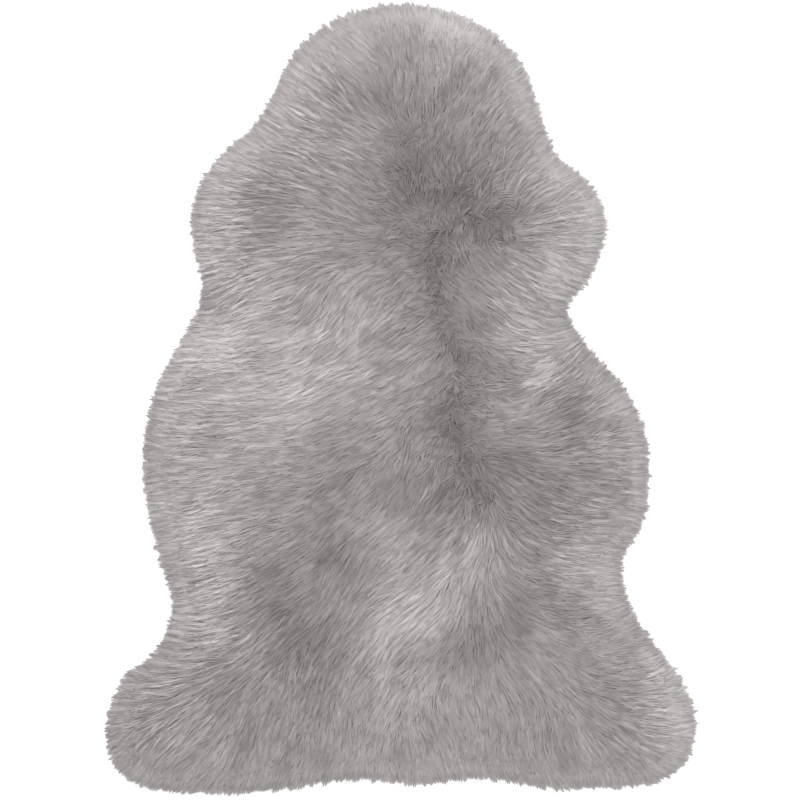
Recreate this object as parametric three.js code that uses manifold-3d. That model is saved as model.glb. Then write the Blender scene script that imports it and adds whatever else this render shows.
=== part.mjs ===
// Sheepskin rug: one whole pelt with its wool on, lying flat with the wool side up.
// Millimetres. +Z is up, +Y points to the neck, +X to the right as seen from above.
// The skin side rests on z = 0.
import * as THREE from 'three';
import { mergeVertices } from 'three/addons/utils/BufferGeometryUtils.js';
import Module from 'manifold-3d';

const { lerp, smoothstep, euclideanModulo } = THREE.MathUtils;
const wasm = await Module();
wasm.setup();

// Sizes of the pile
const PILE_HEIGHT = 46;
const EDGE_HEIGHT = 11;
const ROLL_WIDTH = 62;
const PARTING_DEPTH = 9;
const PARTING_WIDTH = 26;

// Sizes of the tufts that the pile lies in
const TUFT_HEIGHT = 18;
const TUFT_WIDTH = 17;
const TUFT_LENGTH = 44;
const TUFT_STEPS = 5;

// Sizes of the locks that hang out over the rim and lie on the floor
const LOCK_PITCH = 12;
const LOCK_STRAY = 0.3;
const LOCK_REACH = 12;
const LOCK_SPREAD = 5;
const LOCK_SWING = 0.45;
const LOCK_LEAST = 0.8;

// Cross-sections of a lock: how far out from the slab's edge, how wide, and its lowest and highest edges
const LOCK_SECTIONS = [
  { at: 'root', out: -13, width: 13, low: 6, high: 31 },
  { at: 'fall', out: 2, width: 11, low: 0, high: 18 },
];

// Spacing of the points over the surface and along the lines drawn on it
const SURFACE_PITCH = 17;
const LINE_PITCH = 6;
const FLATNESS = 0.08;

// The pelt's edges at sections from the hind legs up to the neck, measured to the tips of the wool
const FLANKS = [
  { section: 'hind hoof', along: -409, left: -329, right: 324 },
  { section: 'hind leg', along: -364, left: -334, right: 334 },
  { section: 'hock', along: -319, left: -315, right: 318 },
  { section: 'thigh', along: -279, left: -274, right: 288 },
  { section: 'stifle', along: -234, left: -260, right: 260 },
  { section: 'flank', along: -185, left: -273, right: 250 },
  { section: 'loin', along: -138, left: -284, right: 275 },
  { section: 'belly', along: -88, left: -293, right: 281 },
  { section: 'ribs', along: -40, left: -290, right: 277 },
  { section: 'chest', along: 10, left: -279, right: 255 },
  { section: 'elbow', along: 62, left: -253, right: 210 },
  { section: 'armpit', along: 104, left: -230, right: 188 },
  { section: 'forearm', along: 138, left: -227, right: 214 },
  { section: 'foreleg', along: 172, left: -236, right: 228 },
  { section: 'knee', along: 210, left: -238, right: 231 },
  { section: 'shoulder', along: 248, left: -226, right: 210 },
  { section: 'withers', along: 278, left: -204, right: 176 },
  { section: 'nape', along: 312, left: -166, right: 161 },
  { section: 'neck', along: 350, left: -144, right: 150 },
];

// The rump's edge from the left hind leg to the right one
const RUMP = [
  { across: -304, along: -436 },
  { across: -188, along: -447 },
  { across: -50, along: -432 },
  { across: 106, along: -434 },
  { across: 225, along: -441 },
  { across: 297, along: -432 },
];

// The neck's edge from the right side to the left
const NECK = [
  { across: 133, along: 386 },
  { across: 85, along: 427 },
  { across: 0, along: 449 },
  { across: -82, along: 428 },
  { across: -126, along: 386 },
];

// The line down the back where the wool parts and lies away to both sides
const PARTING = [
  { across: -12, along: 315 },
  { across: 44, along: 208 },
  { across: 34, along: 123 },
  { across: 60, along: -24 },
  { across: 82, along: -98 },
];

// Points at even steps along a curve
function stepped(curve) {
  return curve.getSpacedPoints(Math.round(curve.getLength() / LINE_PITCH));
}

const flat = (row) => new THREE.Vector3(row.across, row.along, 0);
const parting = stepped(new THREE.CatmullRomCurve3(PARTING.map(flat), false, 'centripetal'));

// The closed outline, anticlockwise from the left hind leg
const rightFlank = FLANKS.map((row) => new THREE.Vector3(row.right, row.along, 0));
const leftFlank = FLANKS.map((row) => new THREE.Vector3(row.left, row.along, 0)).reverse();
const outlinePoints = [...RUMP.map(flat), ...rightFlank, ...NECK.map(flat), ...leftFlank];
const outline = new THREE.CatmullRomCurve3(outlinePoints, true, 'centripetal');
const outlineSteps = stepped(outline);

// A repeatable number from 0 to 1 for a pair of whole numbers
function chance(i, j) {
  const wave = Math.sin(127.1 * i + 311.7 * j) * 43758.5453;
  return wave - Math.floor(wave);
}

// The same from -1 to 1
function stray(i, j) {
  return 2 * chance(i, j) - 1;
}

// The nearest of a row of points
function nearest(point, row) {
  let best = row[0];
  for (const spot of row) {
    if (spot.distanceToSquared(point) < best.distanceToSquared(point)) {
      best = spot;
    }
  }
  return best;
}

// The way the wool lies at a point: away from the parting, whose nearest stretch counts most
function lieAt(point) {
  const lie = new THREE.Vector3();
  for (const spot of parting) {
    const away = point.clone().sub(spot);
    lie.addScaledVector(away, 1 / (1 + away.lengthSq()) ** 2);
  }
  return lie.normalize();
}

// Smooth bumps from -1 to 1, one to each square of a tuft's width
function grain(point) {
  const x = point.x / TUFT_WIDTH;
  const y = point.y / TUFT_WIDTH;
  const i = Math.floor(x);
  const j = Math.floor(y);
  const u = smoothstep(x - i, 0, 1);
  const low = lerp(stray(i, j), stray(i + 1, j), u);
  const high = lerp(stray(i, j + 1), stray(i + 1, j + 1), u);
  return lerp(low, high, smoothstep(y - j, 0, 1));
}

// Tufts from -1 to 1: the bumps drawn out along the lie of the wool
function tuft(point) {
  const lie = lieAt(point);
  let sum = 0;
  for (let step = 0; step < TUFT_STEPS; step++) {
    const along = TUFT_LENGTH * (step / (TUFT_STEPS - 1) - 0.5);
    sum += grain(point.clone().addScaledVector(lie, along));
  }
  return sum / TUFT_STEPS;
}

// The outward direction square to the outline at a share of its length
function outward(share) {
  const run = outline.getTangentAt(share);
  return new THREE.Vector3(run.y, -run.x, 0);
}

// A stretch of the slab's edge between two shares of the outline: the outline drawn in by the locks' reach
class SlabEdge extends THREE.Curve {
  constructor(from, to) {
    super();
    this.from = from;
    this.to = to;
  }

  getPoint(t) {
    const share = euclideanModulo(lerp(this.from, this.to, t), 1);
    return outline.getPointAt(share).addScaledVector(outward(share), -LOCK_REACH);
  }
}

// The share of the outline's length at which it passes a corner of the pelt
function shareAt(corner) {
  return outlineSteps.indexOf(nearest(corner, outlineSteps)) / (outlineSteps.length - 1);
}

const hindRight = shareAt(flat(RUMP.at(-1)));
const neckRight = shareAt(rightFlank.at(-1));
const neckLeft = shareAt(leftFlank[0]);
const wholeEdge = new SlabEdge(0, 1);
const rumpEdge = new SlabEdge(0, hindRight);
const rightEdge = new SlabEdge(hindRight, neckRight);
const neckEdge = new SlabEdge(neckLeft, neckRight);
const leftEdge = new SlabEdge(1, neckLeft);
const rim = stepped(wholeEdge);
const columns = Math.round(rumpEdge.getLength() / SURFACE_PITCH);
const rows = Math.round(leftEdge.getLength() / SURFACE_PITCH);

// The wool's height at a point: rolled over at the rim, lower along the parting, lumpy with tufts
function woolHeight(point) {
  const inset = point.distanceTo(nearest(point, rim));
  const roll = 1 - Math.min(inset / ROLL_WIDTH, 1);
  const body = lerp(EDGE_HEIGHT, PILE_HEIGHT, Math.sqrt(1 - roll * roll));
  const away = point.distanceTo(nearest(point, parting)) / PARTING_WIDTH;
  const groove = PARTING_DEPTH * Math.exp(-away * away);
  const lump = TUFT_HEIGHT * tuft(point) * Math.min(inset / TUFT_WIDTH, 1);
  return body - groove + lump;
}

// The slab: a box of many faces whose sides take the pelt's outline and whose top takes the wool's height
function slab() {
  const grid = new THREE.BoxGeometry(1, 1, 1, columns, rows, 1);
  const box = mergeVertices(grid.deleteAttribute('uv').deleteAttribute('normal'));
  const spots = box.getAttribute('position');
  const rump = rumpEdge.getSpacedPoints(columns);
  const neck = neckEdge.getSpacedPoints(columns);
  const left = leftEdge.getSpacedPoints(rows);
  const right = rightEdge.getSpacedPoints(rows);
  for (let k = 0; k < spots.count; k++) {
    const u = spots.getX(k) + 0.5;
    const v = spots.getY(k) + 0.5;
    const i = Math.round(u * columns);
    const j = Math.round(v * rows);
    const lengthwise = rump[i].clone().lerp(neck[i], v);
    const crosswise = left[j].clone().lerp(right[j], u);
    const rumpCorner = rump[0].clone().lerp(rump[columns], u);
    const neckCorner = neck[0].clone().lerp(neck[columns], u);
    const point = lengthwise.add(crosswise).sub(rumpCorner.lerp(neckCorner, v));
    const height = spots.getZ(k) > 0 ? woolHeight(point) : 0;
    spots.setXYZ(k, point.x, point.y, height);
  }
  return box;
}

// The closed skin over rings of points that end in a single tip
function taper(points, sides) {
  const tip = points.length - 1;
  const faces = [];
  for (let k = 0; k < tip; k++) {
    const next = k % sides === sides - 1 ? k + 1 - sides : k + 1;
    if (k + sides < tip) {
      faces.push(k, next, next + sides, k, next + sides, k + sides);
    } else {
      faces.push(k, next, tip);
    }
  }
  for (let k = 2; k < sides; k++) {
    faces.push(0, k, k - 1);
  }
  return new THREE.BufferGeometry().setFromPoints(points).setIndex(faces);
}

// A lock of four sides that falls from its root in the slab to a tip lying on the floor at the rim
function lock(index, count) {
  const share = euclideanModulo((index + LOCK_STRAY * stray(index, 1)) / count, 1);
  const edge = wholeEdge.getPoint(share);
  const out = outward(share).add(lieAt(edge)).normalize();
  const side = new THREE.Vector3(-out.y, out.x, 0);
  const size = lerp(LOCK_LEAST, 1, chance(index, 2));
  const reach = LOCK_REACH + LOCK_SPREAD * stray(index, 3);
  const swing = LOCK_SWING * stray(index, 4);
  const points = [];
  for (const row of LOCK_SECTIONS) {
    const foot = edge.clone().addScaledVector(out, row.out).setZ(row.low);
    const ridge = foot.clone().setZ(row.high * size);
    const waist = foot.clone().lerp(ridge, 0.5);
    const half = side.clone().multiplyScalar((row.width * size) / 2);
    points.push(foot, waist.clone().add(half), ridge, waist.clone().sub(half));
  }
  points.push(edge.clone().addScaledVector(out, reach).addScaledVector(side, swing * reach));
  return taper(points, 4);
}

// A closed body from a geometry
function bodyOf(geometry) {
  const triVerts = new Uint32Array(geometry.getIndex().array);
  const vertProperties = new Float32Array(geometry.getAttribute('position').array);
  return new wasm.Manifold(new wasm.Mesh({ numProp: 3, vertProperties, triVerts }));
}

// A geometry from a closed body
function geometryOf(body) {
  const mesh = body.getMesh();
  const geometry = new THREE.BufferGeometry();
  geometry.setAttribute('position', new THREE.BufferAttribute(mesh.vertProperties, 3));
  geometry.setIndex(new THREE.BufferAttribute(mesh.triVerts, 1));
  geometry.computeVertexNormals();
  return geometry;
}

// The slab and its locks are one body, without the small hollows shut in where neighbouring locks cross
const lockCount = Math.round(wholeEdge.getLength() / LOCK_PITCH);
const bodies = [bodyOf(slab())];
for (let index = 0; index < lockCount; index++) {
  bodies.push(bodyOf(lock(index, lockCount)));
}
const skins = wasm.Manifold.union(bodies).asOriginal().simplify(FLATNESS).decompose();
const outerSkin = skins.reduce((most, skin) => (skin.volume() > most.volume() ? skin : most));
const pelt = geometryOf(outerSkin);

// The middle of the pelt's length and width is the origin
pelt.computeBoundingBox();
const centre = pelt.boundingBox.getCenter(new THREE.Vector3());
pelt.translate(-centre.x, -centre.y, -pelt.boundingBox.min.z);

const wool = new THREE.MeshStandardMaterial({ color: 0xa29c9b, roughness: 0.9, metalness: 0 });
const sheepskin = new THREE.Mesh(pelt, wool);
sheepskin.name = 'sheepskin';

const group = new THREE.Group();
group.add(sheepskin);
export default group;
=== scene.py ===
"""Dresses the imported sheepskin: a suede skin, a felted underwool and a combed fleece of wool locks."""

import math
from collections import namedtuple

import bpy
import numpy as np
from bpy.props import FloatProperty, FloatVectorProperty, IntProperty, PointerProperty
from bpy.types import NodeSocket, Operator, Panel, PropertyGroup, Scene
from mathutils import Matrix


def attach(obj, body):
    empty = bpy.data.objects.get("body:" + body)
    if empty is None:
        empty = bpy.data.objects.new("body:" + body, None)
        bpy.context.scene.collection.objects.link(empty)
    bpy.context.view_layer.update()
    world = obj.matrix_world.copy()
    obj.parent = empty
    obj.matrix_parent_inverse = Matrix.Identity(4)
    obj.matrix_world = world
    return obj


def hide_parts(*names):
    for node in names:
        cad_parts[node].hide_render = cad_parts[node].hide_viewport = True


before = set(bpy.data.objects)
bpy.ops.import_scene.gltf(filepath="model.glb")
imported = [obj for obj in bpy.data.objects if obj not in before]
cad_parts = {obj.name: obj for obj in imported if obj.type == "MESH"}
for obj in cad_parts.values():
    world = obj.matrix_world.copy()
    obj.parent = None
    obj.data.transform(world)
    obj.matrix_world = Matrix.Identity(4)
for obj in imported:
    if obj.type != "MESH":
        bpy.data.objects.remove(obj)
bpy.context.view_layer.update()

bl_info = {
    "name": "Sheepskin Rug",
    "version": (1, 0, 0),
    "blender": (4, 5, 0),
    "location": "View3D > Sidebar > Sheepskin",
    "description": "Grows the wool of a sheepskin rug and lays it on a pale floor",
    "category": "Object",
}

MM = 0.001
PELT = "sheepskin"

# The pelt's edges at sections from the hind legs up to the neck, in millimetres to the tips of the wool
Flank = namedtuple("Flank", "section along left right")
FLANKS = [Flank(*row) for row in (
    ("hind hoof", -409, -329, 324), ("hind leg", -364, -334, 334), ("hock", -319, -315, 318),
    ("thigh", -279, -274, 288), ("stifle", -234, -260, 260), ("flank", -185, -273, 250),
    ("loin", -138, -284, 275), ("belly", -88, -293, 281), ("ribs", -40, -290, 277),
    ("chest", 10, -279, 255), ("elbow", 62, -253, 210), ("armpit", 104, -230, 188),
    ("forearm", 138, -227, 214), ("foreleg", 172, -236, 228), ("knee", 210, -238, 231),
    ("shoulder", 248, -226, 210), ("withers", 278, -204, 176), ("nape", 312, -166, 161),
    ("neck", 350, -144, 150),
)]

# Spots across and along: the rump's edge from left to right, the neck's edge from right to left, the parting
# down the back, and the line that the comb starts from, across the whorl on the shoulders and down the back
RUMP = [
    (-304, -436), (-188, -447), (-50, -432), (22, -437), (97, -430), (165, -441), (225, -441), (297, -432),
]
NECK = [(133, 386), (85, 427), (0, 449), (-82, 428), (-126, 386)]
PARTING = [(-12, 315), (44, 208), (34, 123), (60, -24), (82, -98)]
COMB_LINE = [
    (105, 192), (75, 199), (45, 190), (31, 168), (31, 142), (41, 112), (53, 78), (72, 45), (78, 20), (60, -5),
    (58, -38), (70, -75), (92, -112),
]

# How the wool is combed: places across and along, and the heading of its lie there in degrees from +X
COMBING = [
    (-8, 424, 110), (-80, 395, 134), (92, 385, 56), (136, 350, 40), (-130, 318, 148), (-52, 292, 162),
    (44, 375, 92), (89, 270, 55), (-194, 247, 167), (-103, 253, 163), (-49, 219, 137), (-216, 191, 184),
    (-67, 176, 180), (-140, 180, 182), (17, 205, 138), (45, 238, 92), (73, 236, 75), (111, 219, 55),
    (149, 219, 32), (212, 188, 14), (130, 185, 5), (191, 134, 350), (149, 154, 340), (111, 144, 325),
    (73, 125, 320), (111, 107, 322), (139, 97, 330), (-160, 123, 202), (57, 160, 278), (78, 165, 306),
    (95, 157, 326), (2, 168, 204), (-77, 107, 240), (-39, 103, 243), (-30, 144, 205), (-14, 112, 230),
    (14, 88, 206), (-228, 55, 183), (-137, 61, 193), (-86, 69, 220), (-30, 62, 225), (12, 56, 214),
    (12, 5, 204), (-67, 31, 207), (-77, -6, 203), (83, 69, 320), (120, 60, 347), (158, 60, 8), (92, 13, 335),
    (147, -6, 36), (120, -25, 3), (222, 22, 47), (-250, -36, 173), (-137, -36, 186), (-35, -36, 207),
    (191, -36, 17), (259, -81, 354), (-261, -126, 192), (-148, -115, 195), (-58, -115, 225), (33, -104, 240),
    (135, -115, 325), (214, -126, 356), (97, -150, 264), (118, -152, 316), (143, -160, 335), (176, -150, 358),
    (0, -152, 226), (40, -190, 220), (58, -187, 219), (75, -178, 228), (88, -163, 248), (80, -206, 262),
    (64, -213, 246), (112, -210, 322), (136, -198, 346), (159, -219, 354), (198, -235, 5), (-205, -183, 198),
    (-122, -194, 212), (-46, -194, 238), (237, -217, 358), (40, -228, 217), (71, -229, 245), (100, -235, 296),
    (87, -251, 268), (119, -256, 315), (157, -248, 340), (32, -275, 222), (55, -290, 245), (95, -290, 275),
    (135, -299, 303), (182, -306, 320), (-8, -322, 238), (-239, -273, 187), (-148, -285, 225),
    (-58, -285, 238), (230, -285, 6), (282, -296, 10), (-307, -341, 188), (-250, -387, 222),
    (-160, -364, 245), (-69, -364, 263), (52, -360, 298), (156, -370, 272), (248, -375, 325), (316, -364, 0),
    (190, 38, 46), (166, 26, 32), (247, -2, 18), (174, -108, 350), (0, -218, 210), (42, -152, 214),
    (18, -48, 244), (-26, 202, 172), (66, 314, 56), (-5, 350, 84), (119, 177, 0), (68, 104, 322),
    (110, -412, 304), (222, -415, 295), (268, -345, 3), (318, -395, 338), (235, -243, 11), (-118, -308, 254),
    (-182, -338, 226), (-105, -395, 243), (-305, -415, 228), (-180, 28, 178), (-45, 362, 142),
    (-36, 324, 147), (98, -385, 264), (176, -418, 308), (-196, -278, 193),
]

# Soft patches where the wool is coloured lighter or darker: partly its own tone, partly painted light where
# it lies flat and along the rim and painted shade where it stands up. Each has a place across and along, a
# long and a wide reach, the way that the long one points in degrees from +X, and a share of the way from dark
# to light wool
TONE_AND_SHADING_PATCHES = [
    (-20, 430, 110, 40, 0, 0.09), (70, 425, 60, 35, 335, 0.17), (150, 335, 90, 35, 100, 0.16),
    (45, 395, 50, 40, 0, 0.06), (-50, 380, 32, 26, 0, 0.10), (-112, 320, 42, 28, 70, 0.14),
    (-75, 325, 45, 28, 50, -0.10), (-42, 290, 26, 26, 90, 0.10), (20, 290, 80, 60, 90, -0.14),
    (70, 250, 50, 30, 10, -0.12), (0, 248, 42, 34, 60, -0.14), (-40, 240, 50, 40, 0, -0.07),
    (0, 218, 40, 16, 340, 0.05), (45, 225, 30, 20, 30, 0.08), (85, 210, 60, 40, 0, -0.17),
    (-143, 206, 38, 30, 90, -0.13), (-200, 175, 62, 28, 85, 0.15), (196, 222, 52, 30, 120, 0.16),
    (222, 175, 50, 20, 90, 0.08), (-15, 178, 42, 28, 345, -0.11), (175, 147, 40, 28, 90, 0.16),
    (85, 135, 45, 30, 0, -0.14), (-145, 125, 45, 32, 130, 0.09), (-212, 125, 35, 22, 90, -0.14),
    (-72, 120, 22, 28, 0, 0.06), (35, 115, 70, 30, 100, -0.13), (155, 108, 30, 18, 0, -0.05),
    (-105, 102, 25, 20, 0, -0.14), (-168, 80, 45, 28, 40, 0.15), (-75, 57, 60, 48, 0, 0.15),
    (22, 60, 22, 35, 0, 0.07), (-15, 55, 22, 35, 0, -0.08), (150, 65, 70, 35, 110, 0.12),
    (-118, 50, 40, 25, 60, 0.11), (-200, 35, 55, 32, 110, 0.17), (-242, 5, 40, 35, 60, 0.12),
    (120, 30, 22, 18, 0, -0.20), (152, 14, 30, 22, 30, 0.14), (-40, 5, 30, 16, 0, 0.08),
    (68, 10, 70, 32, 95, -0.14), (188, 0, 24, 40, 0, -0.15), (-124, -12, 45, 32, 20, 0.23),
    (235, -20, 50, 30, 110, 0.10), (30, -25, 35, 35, 0, -0.08), (-80, -50, 40, 22, 330, -0.05),
    (125, -80, 65, 35, 345, -0.20), (-220, -80, 55, 50, 90, 0.11), (-45, -85, 60, 35, 10, -0.09),
    (170, -92, 30, 22, 0, -0.05), (272, -110, 60, 18, 90, 0.08), (225, -100, 25, 30, 0, -0.05),
    (150, -135, 28, 22, 0, -0.07), (60, -120, 65, 28, 0, -0.17), (-30, -140, 26, 28, 0, 0.09),
    (-225, -150, 32, 28, 0, 0.12), (-82, -172, 45, 34, 30, -0.20), (148, -165, 40, 24, 60, -0.11),
    (-50, -205, 26, 26, 0, -0.09), (-100, -207, 20, 22, 0, 0.12), (-207, -212, 65, 26, 90, 0.18),
    (218, -212, 70, 32, 105, 0.14), (30, -215, 80, 20, 50, 0.17), (-138, -232, 55, 38, 110, -0.22),
    (125, -245, 50, 28, 50, -0.17), (190, -230, 26, 22, 0, -0.09), (-18, -240, 50, 22, 60, 0.12),
    (-92, -280, 48, 36, 20, -0.20), (78, -280, 45, 24, 5, -0.15), (-20, -310, 60, 25, 80, 0.05),
    (25, -325, 40, 25, 0, 0.07), (175, -320, 55, 28, 10, -0.09), (-185, -332, 45, 35, 90, -0.13),
    (-95, -345, 35, 25, 70, -0.09), (300, -348, 50, 32, 105, 0.20), (-318, -375, 45, 20, 90, -0.08),
    (35, -368, 22, 20, 0, -0.08), (-200, -380, 35, 30, 120, 0.04), (150, -375, 45, 30, 330, -0.05),
    (-115, -393, 35, 25, 0, -0.06), (250, -392, 30, 25, 0, -0.06), (-17, 397, 20, 18, 90, -0.06),
    (-12, 300, 30, 22, 90, -0.06), (135, 290, 20, 18, 0, -0.10), (85, 178, 40, 14, 0, -0.05),
    (-222, 155, 22, 14, 90, 0.07), (195, 72, 25, 15, 315, 0.08), (190, -24, 20, 18, 0, -0.10),
    (-197, -178, 18, 14, 30, 0.07), (88, -185, 28, 20, 90, 0.07), (40, -248, 30, 18, 40, 0.20),
    (-195, -262, 32, 28, 90, 0.09), (283, -297, 22, 18, 315, 0.09), (245, -340, 28, 22, 0, -0.09),
    (-283, -35, 38, 18, 90, -0.12), (-185, 275, 40, 24, 35, 0.08),
]

# Where the strands show crisper or calmer than over the back, in the same way, as a share of their strength
CRISP_BACK = 0.48
CRISP_LEAST = 0.15
CRISP = [
    (-240, -20, 150, 60, 90, 0.75), (-190, 160, 75, 55, 100, 1.05), (-105, 310, 75, 48, 60, 0.85),
    (-222, -238, 100, 70, 95, 1.05), (-295, -350, 60, 55, 0, 0.85), (160, 110, 80, 55, 95, 0.95),
    (170, 225, 85, 60, 0, 0.55), (165, -140, 85, 60, 0, 0.80), (175, -15, 65, 55, 0, 0.60),
    (0, -235, 80, 42, 50, 0.50), (-85, 20, 100, 75, 0, 0.50), (268, -365, 60, 55, 90, 0.65),
    (30, 425, 110, 60, 0, -0.33), (0, -440, 330, 50, 0, -0.27), (80, -290, 75, 50, 0, -0.32),
    (-85, 230, 80, 55, 90, 0.45), (-200, 250, 45, 40, 0, 0.55), (260, -60, 90, 35, 90, 0.35),
    (60, 225, 75, 65, 0, 0.25),
]

# Where the wool is short and tousled instead of combed, in the same way, beside the comb line itself
TOUSLED = [
    (50, 215, 62, 55, 0, 1.00), (12, 285, 35, 42, 0, 0.50), (50, -25, 38, 45, 0, 0.50),
    (122, 205, 22, 18, 0, 0.40),
]

# Sizes that the pile takes from the solid, in millimetres, and the least share of its edge left at the tips
EDGE_HEIGHT = 11.0
ROLL_WIDTH = 62.0
SLAB_INSET = 12.0
FALL_WIDTH = 14.0
FALL_LEAST = 0.1
PARTING_DEPTH = 9.0
PARTING_WIDTH = 26.0
TUFT_HEIGHT = 18.0
TUFT_WIDTH = 17.0
TUFT_LENGTH = 44.0
TUFT_STEPS = 5

# The wave behind the repeatable strays: its steps along two ways and its steepness
STRAY_STEPS = (127.1, 311.7)
STRAY_STEEP = 43758.5453

# Steps of the survey lattice and the margin around it, of its lines and of the grids under the wool, in
# millimetres
LATTICE_PITCH = 4.0
LATTICE_MARGIN = 40.0
LINE_PITCH = 6.0
SKIN_PITCH = 12.0
UNDERWOOL_PITCH = 7.0

# Counts: steps to a stretch of a curve, spots of the neck's edge that go with each flank in the grids under
# the wool, roots that are searched at once, and cells that stay unread at the lattice's end
STRETCH_STEPS = 24
CORNER_SPOTS = 2
ROOT_BATCH = 2000
LATTICE_END = 1.001

# A length too short to count, and the height of a triangle with sides of one
TINY = 1e-12
TRIANGLE_HEIGHT = math.sqrt(0.75)

# How near a stroke of the comb counts fully, how the lie turns outwards at the rim, in millimetres, how it
# sways, in tufts and radians, more along the comb line, and how much further a stroke across that line counts
COMB_REACH = 16.0
RIM_REACH = 22.0
RIM_TURN = 0.4
SWAY_WIDTHS = (2.2, 1.1)
SWAY_TURNS = (0.12, 0.10)
SWAY_SHIFT = 300.0
PARTING_SWAY = 5.0
PARTING_WALL = 70.0
PARTING_BLUR = 4.0

# Beside the comb line and where the wool is tousled: how far off the line that reaches in millimetres, how
# much more the wool turns in radians, and how much shorter it is and further back it starts, as shares
PARTING_REACH = 22.0
PARTING_SWING = 0.9
PARTING_SHORT = 0.5
PARTING_BACK = 0.8

# How the wool stands: shares of the pile, rises and heights in millimetres, and a rise's least share at the
# rim
UNDERWOOL_SHARE = 0.965
PARTING_SHARE = -0.015
UNDERWOOL_FOOT = 0.32
ROOT_DEPTH = 0.6
STAPLE_RISE = 0.26
STAPLE_CROWN = 0.52
LOCK_RISE = 0.5
WISP_RISE = 0.38
TIP_RISE = 0.7
RIM_RISE = 20.0
RIM_RISE_LEAST = 0.2
LEAST_HEIGHT = 0.8

# How staples, locks and wisps stray: turns in radians, and shares of a pitch, a length or a width
STAPLE_SWING = 0.08
LOCK_SWING = 0.08
WISP_SWING = 0.10
SHAKE = 0.35
LOCK_LENGTHS = (0.8, 1.15)
WISP_LENGTHS = (0.8, 1.15)
WISP_WIDTHS = (0.75, 1.25)

# How they gather: how wide a staple and a lock are as shares of a pitch, how far a lock follows its staple,
# how much of the drawing together is done by the middle, and the turn from wisp to wisp in a lock
STAPLE_SPREAD = 0.6
LOCK_SPREAD = 0.62
STAPLE_HOLD = 0.5
MIDDLE_DRAW = 0.35
GOLDEN_ANGLE = math.radians(137.5)

# How locks end at the rim: reach past it in millimetres, the least share that is left and the least run that
# counts where they are cut, and how far their wisps stray, stay blunt and swell there
LOCK_OVER = (-1.6, 0.6)
TRIM_LEAST = 0.1
TRIM_RUN = 1e-6
RIM_LOOSE = 0.2
RIM_BLUNT = 0.6
RIM_SWELL = 0.6

# The fringe of fine locks along the rim: its pitch, reach past the rim, length, width and the inset from
# which roots are kept, in millimetres, and the rest as shares
FRINGE_PITCH = 3.5
FRINGE_OVER = (-1.0, 4.2)
FRINGE_INSET = 17.0
FRINGE_SPREAD = 2.3
FRINGE_KEEP = 9.0
FRINGE_SHAKE = 0.8
FRINGE_SLANT = 0.6
FRINGE_DRAW = (0.1, 0.65)
FRINGE_GATHER = 0.8
FRINGE_LOOSE = 0.9
FRINGE_BLUNT = 0.45

# How shades stray, as shares of the way from dark to light wool. Painted light falls on the tufts' tops,
# along the rim and on glinting wisps. Painted shade falls in the tufts' hollows, in the staples' valleys and
# along the comb line, and dark wisps carry a painted shadow. The last value is how far the rim's painted
# light reaches, in millimetres
MID_SHADE = 0.5
# Painted light on the tops of the tufts and painted shade in their hollows
TUFT_PAINTED_SHADING = 0.04
# Painted light along the rim, fading inwards
PAINTED_RIM_LIGHT = 0.11
PAINTED_RIM_REACH = 10.0
STAPLE_SHADE = 0.008
# Painted shade in the valleys between staples, with painted light on their crowns
VALLEY_PAINTED_SHADE = 0.01
LOCK_SHADE = 0.022
WISP_SHADE = 0.022
# Painted highlight: a share of wisps painted lighter, as fibres that catch the light
GLINT_PAINTED_LIGHT = 0.04
GLINT_PAINTED_SHARE = 0.15
SHADOW_SHADE = 0.085
SHADOW_SHARE = 0.09
# Painted shade along the comb line
PARTING_PAINTED_SHADE = 0.085

# The strands that the combed wool falls into: sizes and a rise in millimetres, and shares of shade: painted
# light on the strands and painted shade in the gaps between them
STRAND_GRAIN = 2.2
STRAND_PITCH = 3.4
STRAND_LENGTH = 11.0
STRAND_STEPS = 4
STRAND_PAINTED_SHADING = 0.068
STRAND_CALM = 0.5
STRAND_RISE = 0.3

# Where the fleece is split into pieces, in millimetres along and across the back
NECK_LINE = 255.0
SHOULDER_LINE = 95.0
RUMP_LINE = -165.0
BACK_LINE = 15.0

# A wisp's section: how wide its two rings are, how high and deep, and how far its normals lean to the sides
WISP_SWELL = (0.8, 1.0)
WISP_CREST = 0.55
WISP_SOLE = 0.3
WISP_LEAN = 0.22

# A wisp's seven corners, three at its root, three at its middle and its tip: the corners of its faces, how
# many each face has, which faces are its sole, and where the corners lie along and across it
WISP_FACES = np.array([0, 1, 4, 3, 1, 2, 5, 4, 2, 0, 3, 5, 3, 4, 6, 4, 5, 6, 5, 3, 6, 0, 2, 1])
WISP_COUNTS = np.array([4, 4, 4, 3, 3, 3, 3])
WISP_SOLES = np.array([0, 0, 1, 0, 0, 1, 1], bool)
WISP_ALONG = np.array([0.0, 0.04, 0.0, 0.5, 0.5, 0.5, 1.0])
WISP_ACROSS = np.array([-0.5, 0.0, 0.5, -0.5, 0.0, 0.5, 0.0])

# A wisp's map and a copy of it under a second name, the window across a wisp and the margin at the map's
# edges, and the underwool's own field of tone
FIBRE_MAP = "fibre"
BAKE_MAP = "OFBake"
SHADE_WINDOW = 0.012
MAP_MARGIN = 0.002
TONE_FIELD = "tone"

# The seed of all random draws
SEED = 7

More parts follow.
